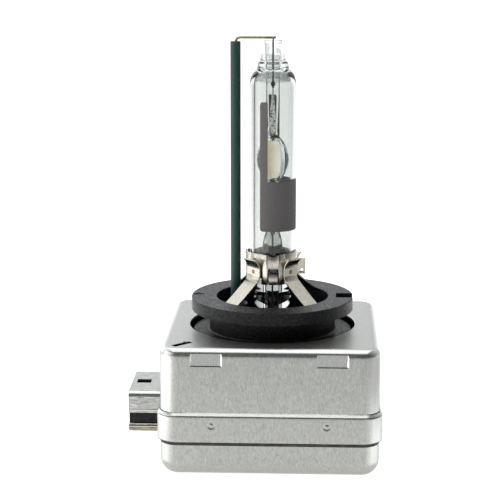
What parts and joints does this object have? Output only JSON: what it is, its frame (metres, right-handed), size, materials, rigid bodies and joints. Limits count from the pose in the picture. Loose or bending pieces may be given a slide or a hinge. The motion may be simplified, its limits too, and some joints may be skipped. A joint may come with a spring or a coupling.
{
  "type": "headlight bulb",
  "caption": "Gas-discharge headlight bulb: quartz burner held by a collar and strip legs in a keyed black base ring, on a square sheet-metal igniter can with a side plug socket.",
  "frame": {"origin": "on the lamp axis at the top face of the base ring, the lamp's reference plane", "axes": "+Z along the lamp axis towards the glass tip, -X towards the mouth of the plug socket, -Y is the front"},
  "size_m": [0.0492, 0.0426, 0.0812],
  "materials": {
    "clear_quartz": "clear fused quartz, polished",
    "tungsten": "drawn rod",
    "molybdenum": "rolled foil and drawn wire",
    "metal_salts": "fused salt film",
    "matt_coating": "fired matt coating",
    "nickel_wire": "drawn wire",
    "green_ceramic": "extruded and fired ceramic, half matt",
    "stainless_strip": "rolled strip, blanked and bent",
    "black_moulding": "glass-filled moulding",
    "can_sheet": "deep-drawn sheet, satin",
    "contact_brass": "stamped and plated",
    "green_silicone": "moulded silicone",
    "potting_resin": "cast resin",
    "ferrite": "sintered ferrite",
    "bobbin_plastic": "moulded",
    "enamelled_copper": "enamelled wire, wound",
    "white_ceramic": "fired ceramic",
    "capacitor_case": "dipped film capacitor",
    "resistor_coat": "lacquered"
  },
  "bodies": {
    "root": {"outer_bulb": "clear_quartz", "arc_tube": "clear_quartz", "upper_electrode": "tungsten", "lower_electrode": "tungsten", "upper_foil": "molybdenum", "lower_foil": "molybdenum", "upper_lead": "molybdenum", "lower_lead": "molybdenum", "halide_salts": "metal_salts", "antiglare_coating": "matt_coating", "return_wire": "nickel_wire", "return_sleeve": "green_ceramic", "collar": "stainless_strip", "front_left_leg": "stainless_strip", "front_right_leg": "stainless_strip", "rear_left_leg": "stainless_strip", "rear_right_leg": "stainless_strip", "lamp_base": "black_moulding", "hv_contact": "contact_brass", "return_contact": "contact_brass", "upper_can": "can_sheet", "lower_can": "can_sheet", "socket_shield": "can_sheet", "socket_tray": "can_sheet", "socket_body": "black_moulding", "plug_seal": "green_silicone", "terminal_pins": "contact_brass", "igniter_housing": "black_moulding", "housing_cover": "black_moulding", "potting_slab": "potting_resin", "transformer_core": "ferrite", "transformer_bobbin": "bobbin_plastic", "secondary_winding": "enamelled_copper", "primary_winding": "enamelled_copper", "spark_gap_tube": "white_ceramic", "spark_gap_caps": "stainless_strip", "capacitor": "capacitor_case", "bleed_resistor": "resistor_coat", "lead_frame": "contact_brass"}
  },
  "joints": []
}
